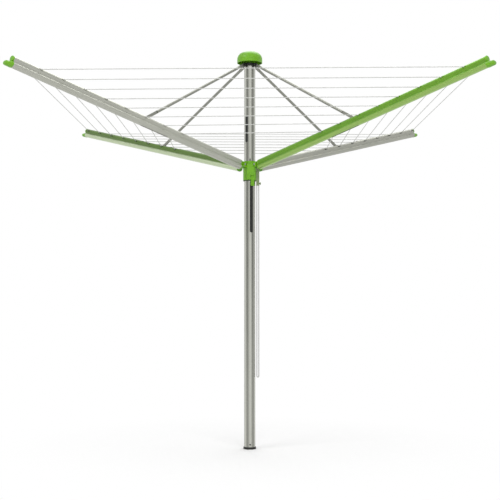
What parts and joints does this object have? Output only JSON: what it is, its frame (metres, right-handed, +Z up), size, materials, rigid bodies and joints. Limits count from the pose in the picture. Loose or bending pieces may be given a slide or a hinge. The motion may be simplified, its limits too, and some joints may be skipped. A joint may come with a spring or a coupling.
{
  "type": "rotary clothesline",
  "caption": "Upright mast with a domed cap and a sliding hub; folding hollow arms braced by struts carry a square spiral of clothesline, and a cord loop works the hub.",
  "frame": {"origin": "centre of the mast's foot, on the surface it stands on", "axes": "+Z up along the mast, the pictured front faces -Y, arms at 45 degrees to X and Y"},
  "size_m": [1.8756, 1.8756, 1.854],
  "materials": {
    "anodised_aluminium": "satin anodised",
    "green_coated_aluminium": "satin coated",
    "green_plastic": "moulded, semi-gloss",
    "black_plastic": "moulded, matt",
    "grey_green_plastic": "moulded, matt",
    "steel": "bright",
    "line_pvc": "smooth sheathed line",
    "cord_fibre": "limp woven cord"
  },
  "bodies": {
    "mast": {"mast_tube": "anodised_aluminium", "foot_plug": "black_plastic", "mast_rivets": "black_plastic", "lower_slot_liner": "black_plastic", "upper_slot_liner": "black_plastic", "crown": "black_plastic", "crown_cap": "green_plastic", "strut_head_pins": "steel"},
    "hub": {"hub_sleeve": "green_plastic", "hub_bush_lower": "black_plastic", "hub_bush_upper": "black_plastic", "arm_hinge_pins": "steel", "cord_guide": "grey_green_plastic", "cord_knob": "grey_green_plastic", "lever_pin": "steel", "lever_spring": "steel", "pull_cord": "cord_fibre"},
    "lever": {"release_lever": "green_plastic"},
    "arm_front_right": {"arm_profile_front_right": "green_coated_aluminium", "arm_root_front_right": "green_plastic", "arm_cap_front_right": "green_plastic", "strut_pin_front_right": "steel", "arm_eyelets_front_right": "black_plastic", "lines_left_front_right": "line_pvc", "lines_right_front_right": "line_pvc"},
    "strut_front_right": {"strut_head_front_right": "anodised_aluminium", "strut_tube_front_right": "anodised_aluminium", "strut_foot_front_right": "anodised_aluminium"},
    "arm_front_left": {"arm_profile_front_left": "anodised_aluminium", "arm_root_front_left": "green_plastic", "arm_cap_front_left": "green_plastic", "strut_pin_front_left": "steel", "arm_eyelets_front_left": "black_plastic", "lines_left_front_left": "line_pvc", "lines_right_front_left": "line_pvc"},
    "strut_front_left": {"strut_head_front_left": "anodised_aluminium", "strut_tube_front_left": "anodised_aluminium", "strut_foot_front_left": "anodised_aluminium"},
    "arm_back_left": {"arm_profile_back_left": "green_coated_aluminium", "arm_root_back_left": "green_plastic", "arm_cap_back_left": "green_plastic", "strut_pin_back_left": "steel", "arm_eyelets_back_left": "black_plastic", "lines_left_back_left": "line_pvc", "lines_right_back_left": "line_pvc"},
    "strut_back_left": {"strut_head_back_left": "anodised_aluminium", "strut_tube_back_left": "anodised_aluminium", "strut_foot_back_left": "anodised_aluminium"},
    "arm_back_right": {"arm_profile_back_right": "anodised_aluminium", "arm_root_back_right": "green_plastic", "arm_cap_back_right": "green_plastic", "strut_pin_back_right": "steel", "arm_eyelets_back_right": "black_plastic", "lines_left_back_right": "line_pvc", "lines_right_back_right": "line_pvc"},
    "strut_back_right": {"strut_head_back_right": "anodised_aluminium", "strut_tube_back_right": "anodised_aluminium", "strut_foot_back_right": "anodised_aluminium"}
  },
  "joints": [
    {"name": "hub_slide", "type": "slide", "parent": "mast", "child": "hub", "axis": [0, 0, -1], "range_m": [0, 0.825], "deforming": ["pull_cord"]},
    {"name": "release_lever", "type": "hinge", "parent": "hub", "child": "lever", "pos_m": [0.01206, -0.03312, 1.2636], "axis": [-0.9397, -0.342, 0], "range_deg": [0, 14], "stiffness_Nm_per_rad": 0.3},
    {"name": "arm_front_right_fold", "type": "hinge", "parent": "hub", "child": "arm_front_right", "pos_m": [0.0297, -0.0297, 1.3198], "axis": [-0.7071, -0.7071, 0], "range_deg": [0, 72.5], "deforming": ["lines_left_front_right", "lines_right_front_right"]},
    {"name": "strut_front_right_swing", "type": "hinge", "parent": "mast", "child": "strut_front_right", "pos_m": [0.02687, -0.02687, 1.789], "axis": [0.7071, 0.7071, 0], "range_deg": [0, 57.4]},
    {"name": "arm_front_left_fold", "type": "hinge", "parent": "hub", "child": "arm_front_left", "pos_m": [-0.0297, -0.0297, 1.3198], "axis": [-0.7071, 0.7071, 0], "range_deg": [0, 72.5], "deforming": ["lines_left_front_left", "lines_right_front_left"]},
    {"name": "strut_front_left_swing", "type": "hinge", "parent": "mast", "child": "strut_front_left", "pos_m": [-0.02687, -0.02687, 1.789], "axis": [0.7071, -0.7071, 0], "range_deg": [0, 57.4]},
    {"name": "arm_back_left_fold", "type": "hinge", "parent": "hub", "child": "arm_back_left", "pos_m": [-0.0297, 0.0297, 1.3198], "axis": [0.7071, 0.7071, 0], "range_deg": [0, 72.5], "deforming": ["lines_left_back_left", "lines_right_back_left"]},
    {"name": "strut_back_left_swing", "type": "hinge", "parent": "mast", "child": "strut_back_left", "pos_m": [-0.02687, 0.02687, 1.789], "axis": [-0.7071, -0.7071, 0], "range_deg": [0, 57.4]},
    {"name": "arm_back_right_fold", "type": "hinge", "parent": "hub", "child": "arm_back_right", "pos_m": [0.0297, 0.0297, 1.3198], "axis": [0.7071, -0.7071, 0], "range_deg": [0, 72.5], "deforming": ["lines_left_back_right", "lines_right_back_right"]},
    {"name": "strut_back_right_swing", "type": "hinge", "parent": "mast", "child": "strut_back_right", "pos_m": [0.02687, 0.02687, 1.789], "axis": [-0.7071, 0.7071, 0], "range_deg": [0, 57.4]}
  ],
  "couplings": [
    {"joint": "arm_front_right_fold", "follows": "hub_slide", "rad_per_m": 1.528},
    {"joint": "strut_front_right_swing", "follows": "hub_slide", "rad_per_m": 1.2089},
    {"joint": "arm_front_left_fold", "follows": "hub_slide", "rad_per_m": 1.528},
    {"joint": "strut_front_left_swing", "follows": "hub_slide", "rad_per_m": 1.2089},
    {"joint": "arm_back_left_fold", "follows": "hub_slide", "rad_per_m": 1.528},
    {"joint": "strut_back_left_swing", "follows": "hub_slide", "rad_per_m": 1.2089},
    {"joint": "arm_back_right_fold", "follows": "hub_slide", "rad_per_m": 1.528},
    {"joint": "strut_back_right_swing", "follows": "hub_slide", "rad_per_m": 1.2089}
  ]
}
